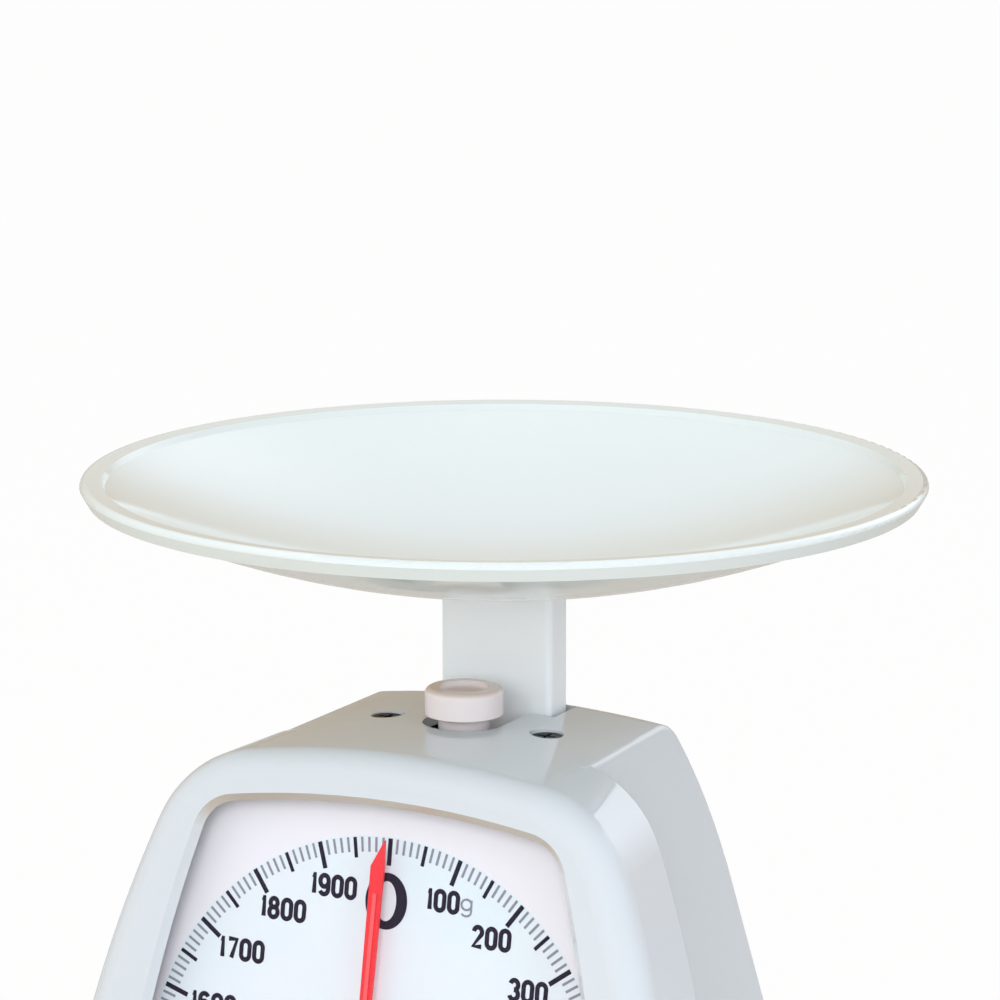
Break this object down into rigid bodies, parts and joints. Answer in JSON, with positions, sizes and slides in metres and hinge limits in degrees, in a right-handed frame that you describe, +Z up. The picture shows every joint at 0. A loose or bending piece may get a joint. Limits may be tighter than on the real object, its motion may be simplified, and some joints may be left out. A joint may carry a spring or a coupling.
{
  "type": "analogue kitchen scale",
  "caption": "Mechanical kitchen scale with a lift-off round dish on a post, a round dial behind a tilted window and a zero knob on top.",
  "frame": {"origin": "on the table, on the vertical axis of the dish and its post", "axes": "+Z up, the dial faces -Y, +X to the right seen from the front"},
  "size_m": [0.21, 0.21, 0.219],
  "materials": {
    "housing_shell": "gloss moulded",
    "base_cover": "fine grain",
    "foot_rubber": "matt",
    "window_clear": "polished clear plastic",
    "dial_print": "printed satin",
    "plated_steel": "zinc plated",
    "dark_screw": "blackened",
    "spring_steel": "bright drawn",
    "movement_brass": "satin",
    "post_plastic": "gloss moulded",
    "dish_plastic": "gloss moulded",
    "knob_plastic": "satin moulded",
    "pointer_red": "satin red"
  },
  "bodies": {
    "base_unit": {"housing": "housing_shell", "base_plate": "base_cover", "rubber_feet": "foot_rubber", "window_lens": "window_clear", "dial_board": "dial_print", "dial_screws": "plated_steel", "top_screws": "dark_screw", "base_screws": "plated_steel", "mechanism_frame": "plated_steel", "frame_screws": "plated_steel", "movement_plate": "plated_steel", "movement_screws": "plated_steel", "lever_axles": "spring_steel", "arbor_bridge": "movement_brass", "bridge_screws": "plated_steel", "bridge_pillars": "movement_brass", "dial_pillars": "movement_brass", "arbor_bushes": "movement_brass", "rack_guide": "spring_steel", "left_spring": "spring_steel", "right_spring": "spring_steel", "spring_anchors": "plated_steel", "overload_stop": "foot_rubber"},
    "carriage": {"dish_post": "post_plastic", "post_screws": "plated_steel", "load_carriage": "plated_steel", "rack_arm": "plated_steel", "arm_screws": "plated_steel", "rack": "movement_brass", "rack_pin": "spring_steel"},
    "dish": {"weighing_dish": "dish_plastic"},
    "zero_knob": {"zero_knob": "knob_plastic", "zero_screw": "plated_steel", "screw_clip": "spring_steel"},
    "hanger": {"spring_hanger": "plated_steel"},
    "upper_lever": {"upper_lever": "plated_steel", "upper_lever_pin": "spring_steel"},
    "lower_lever": {"lower_lever": "plated_steel", "lower_lever_pin": "spring_steel"},
    "pointer": {"pointer": "pointer_red", "pointer_cap": "pointer_red", "pointer_arbor": "spring_steel", "pinion": "movement_brass"}
  },
  "joints": [
    {"name": "weigh", "type": "slide", "parent": "base_unit", "child": "carriage", "axis": [0, 0, 1], "range_m": [-0.0127, 0], "stiffness_N_per_m": 1545, "springref_m": 0.0018, "deforming": ["left_spring", "right_spring"]},
    {"name": "pointer_turn", "type": "hinge", "parent": "base_unit", "child": "pointer", "pos_m": [0, -0.0704, 0.079], "axis": [0, 0.9866, -0.1633], "range_deg": [0, 360.01]},
    {"name": "upper_lever_swing", "type": "hinge", "parent": "base_unit", "child": "upper_lever", "pos_m": [0, 0.019, 0.122], "axis": [1, 0, 0], "range_deg": [0, 22.2]},
    {"name": "lower_lever_swing", "type": "hinge", "parent": "base_unit", "child": "lower_lever", "pos_m": [0, 0.019, 0.062], "axis": [1, 0, 0], "range_deg": [0, 22.2]},
    {"name": "zero_knob_turn", "type": "hinge", "parent": "carriage", "child": "zero_knob", "pos_m": [0, -0.0218, 0.1628], "axis": [0, 0, 1], "range_deg": [-360.01, 360.01]},
    {"name": "hanger_travel", "type": "slide", "parent": "carriage", "child": "hanger", "axis": [0, 0, 1], "range_m": [-0.0006, 0.0006]},
    {"name": "dish_lift", "type": "slide", "parent": "carriage", "child": "dish", "axis": [0, 0, 1], "range_m": [0, 0.014]}
  ],
  "couplings": [
    {"joint": "pointer_turn", "follows": "weigh", "rad_per_m": -494.74},
    {"joint": "upper_lever_swing", "follows": "weigh", "rad_per_m": -30.493},
    {"joint": "lower_lever_swing", "follows": "weigh", "rad_per_m": -30.493},
    {"joint": "zero_knob_turn", "follows": "hanger_travel", "rad_per_m": -10472}
  ]
}
